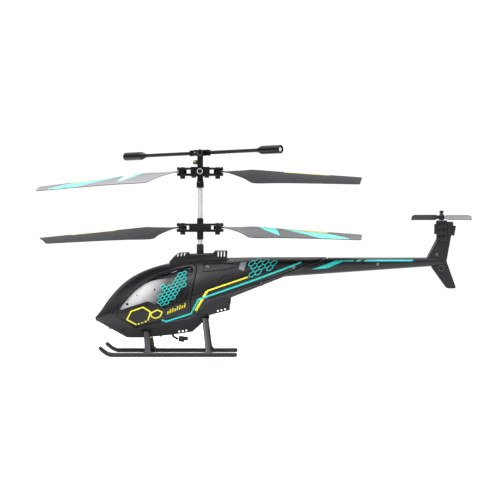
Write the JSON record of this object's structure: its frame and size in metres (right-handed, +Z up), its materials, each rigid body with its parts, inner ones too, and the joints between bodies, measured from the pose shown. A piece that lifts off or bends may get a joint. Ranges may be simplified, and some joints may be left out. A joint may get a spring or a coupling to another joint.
{
  "type": "remote control helicopter",
  "caption": "Palm-sized coaxial remote control helicopter with two stacked two-blade rotors, a flybar, a tail rotor, smoked side windows and skids.",
  "frame": {"origin": "on the ground under the middle of the object's bounding box", "axes": "+Z up, the nose points to -X, the left side is -Y"},
  "size_m": [0.225, 0.0724, 0.1069],
  "materials": {
    "matte_black_shell": "fine matt texture",
    "black_pan": "fine matt texture",
    "black_boom": "satin",
    "dark_grey_skid": "satin",
    "smoked_window": "gloss, smoked",
    "grey_sensor_window": "gloss, translucent grey",
    "clear_led": "clear resin",
    "steel": "drawn wire and turned steel",
    "polished_weight": "polished",
    "brass": "turned",
    "black_screw": "blackened",
    "pale_shaft": "satin, off-white",
    "black_nylon": "satin moulding",
    "grey_blade": "silver grey above, dark grey below",
    "white_nylon": "natural nylon",
    "frame_plastic": "moulded",
    "silver_pouch": "foil pouch",
    "board_green": "solder mask",
    "silver_insert": "silver paint",
    "switch_case": "moulded",
    "switch_knob": "moulded",
    "lead_rubber": "soft lead",
    "plug_black": "moulded"
  },
  "bodies": {
    "airframe": {"fuselage_left": "matte_black_shell", "fuselage_right": "matte_black_shell", "mast_cover": "matte_black_shell", "mast_tube": "matte_black_shell", "belly_pan": "black_pan", "tail_boom": "black_boom", "tail_fin": "black_boom", "tail_motor_cover": "black_boom", "skid_left": "dark_grey_skid", "skid_right": "dark_grey_skid", "window_left": "smoked_window", "window_right": "smoked_window", "sensor_window_left": "grey_sensor_window", "sensor_window_right": "grey_sensor_window", "nose_led": "clear_led", "shell_screw_front": "steel", "shell_screw_rear": "steel", "boom_screw": "steel", "tail_motor": "steel", "motor_front": "steel", "motor_rear": "steel", "lower_bearing": "brass", "upper_bearing": "brass", "fin_screw": "black_screw", "gear_frame": "frame_plastic", "battery": "silver_pouch", "circuit_board": "board_green", "cockpit_insert": "silver_insert", "switch_body": "switch_case", "charge_lead": "lead_rubber", "charge_plug": "plug_black"},
    "upper_rotor": {"inner_shaft": "steel", "inner_shaft_gear": "white_nylon", "shaft_sleeve": "pale_shaft", "rotor_head_post": "black_nylon", "post_screw": "brass", "holder_pivot_pin": "steel", "flybar_pivot_pin": "brass"},
    "blade_holder": {"blade_holder": "black_nylon", "upper_blade_screw_left": "black_screw", "upper_blade_screw_right": "black_screw"},
    "upper_blade_left": {"upper_blade_left": "grey_blade"},
    "upper_blade_right": {"upper_blade_right": "grey_blade"},
    "flybar": {"flybar": "black_nylon", "flybar_weight_front": "polished_weight", "flybar_weight_rear": "polished_weight"},
    "link_left": {"link_left": "black_nylon"},
    "link_right": {"link_right": "black_nylon"},
    "lower_rotor": {"outer_shaft": "pale_shaft", "outer_shaft_gear": "white_nylon", "lower_hub": "black_nylon", "lower_blade_screw_left": "black_screw", "lower_blade_screw_right": "black_screw"},
    "lower_blade_left": {"lower_blade_left": "grey_blade"},
    "lower_blade_right": {"lower_blade_right": "grey_blade"},
    "pinion_front": {"pinion_front": "brass"},
    "pinion_rear": {"pinion_rear": "brass"},
    "tail_rotor": {"tail_rotor": "black_nylon", "tail_shaft": "black_nylon"},
    "switch_slider": {"switch_slider": "switch_knob"}
  },
  "joints": [
    {"name": "upper_rotor_spin", "type": "hinge", "parent": "airframe", "child": "upper_rotor", "pos_m": [-0.0285, 0, 0.095], "axis": [0, 0, 1], "continuous": true},
    {"name": "lower_rotor_spin", "type": "hinge", "parent": "airframe", "child": "lower_rotor", "pos_m": [-0.0285, 0, 0.06595], "axis": [0, 0, 1], "continuous": true},
    {"name": "pinion_rear_spin", "type": "hinge", "parent": "airframe", "child": "pinion_rear", "pos_m": [-0.0195, 0, 0.028], "axis": [0, 0, 1], "continuous": true},
    {"name": "pinion_front_spin", "type": "hinge", "parent": "airframe", "child": "pinion_front", "pos_m": [-0.0375, 0, 0.032], "axis": [0, 0, 1], "continuous": true},
    {"name": "tail_rotor_spin", "type": "hinge", "parent": "airframe", "child": "tail_rotor", "pos_m": [0.097, 0, 0.0713], "axis": [0, 0, 1], "continuous": true},
    {"name": "flybar_teeter", "type": "hinge", "parent": "upper_rotor", "child": "flybar", "pos_m": [-0.0285, 0, 0.1047], "axis": [0.6428, 0.766, 0], "range_deg": [-10, 10]},
    {"name": "blade_holder_pitch", "type": "hinge", "parent": "upper_rotor", "child": "blade_holder", "pos_m": [-0.0285, 0, 0.095], "axis": [1, 0, 0], "range_deg": [-7, 7]},
    {"name": "link_left_pivot", "type": "hinge", "parent": "flybar", "child": "link_left", "pos_m": [-0.0285, -0.0052, 0.1047], "axis": [0.6428, 0.766, 0], "range_deg": [-10.5, 10.5]},
    {"name": "link_right_pivot", "type": "hinge", "parent": "flybar", "child": "link_right", "pos_m": [-0.0285, 0.0052, 0.1047], "axis": [0.6428, 0.766, 0], "range_deg": [-10.5, 10.5]},
    {"name": "upper_blade_left_lag", "type": "hinge", "parent": "blade_holder", "child": "upper_blade_left", "pos_m": [-0.0376, 0, 0.095], "axis": [0, 0, 1], "range_deg": [-15, 15]},
    {"name": "upper_blade_right_lag", "type": "hinge", "parent": "blade_holder", "child": "upper_blade_right", "pos_m": [-0.0194, 0, 0.095], "axis": [0, 0, 1], "range_deg": [-15, 15]},
    {"name": "lower_blade_left_lag", "type": "hinge", "parent": "lower_rotor", "child": "lower_blade_left", "pos_m": [-0.03757, 0.00079, 0.06595], "axis": [0, 0, 1], "range_deg": [-15, 15]},
    {"name": "lower_blade_right_lag", "type": "hinge", "parent": "lower_rotor", "child": "lower_blade_right", "pos_m": [-0.01944, -0.00079, 0.06595], "axis": [0, 0, 1], "range_deg": [-15, 15]},
    {"name": "power_switch_slide", "type": "slide", "parent": "airframe", "child": "switch_slider", "axis": [1, 0, 0], "range_m": [0, 0.002]}
  ],
  "couplings": [
    {"joint": "pinion_rear_spin", "follows": "upper_rotor_spin", "ratio": -5},
    {"joint": "pinion_front_spin", "follows": "lower_rotor_spin", "ratio": -5},
    {"joint": "blade_holder_pitch", "follows": "flybar_teeter", "ratio": 0.6428},
    {"joint": "link_left_pivot", "follows": "flybar_teeter", "ratio": -1},
    {"joint": "link_right_pivot", "follows": "flybar_teeter", "ratio": -1}
  ]
}
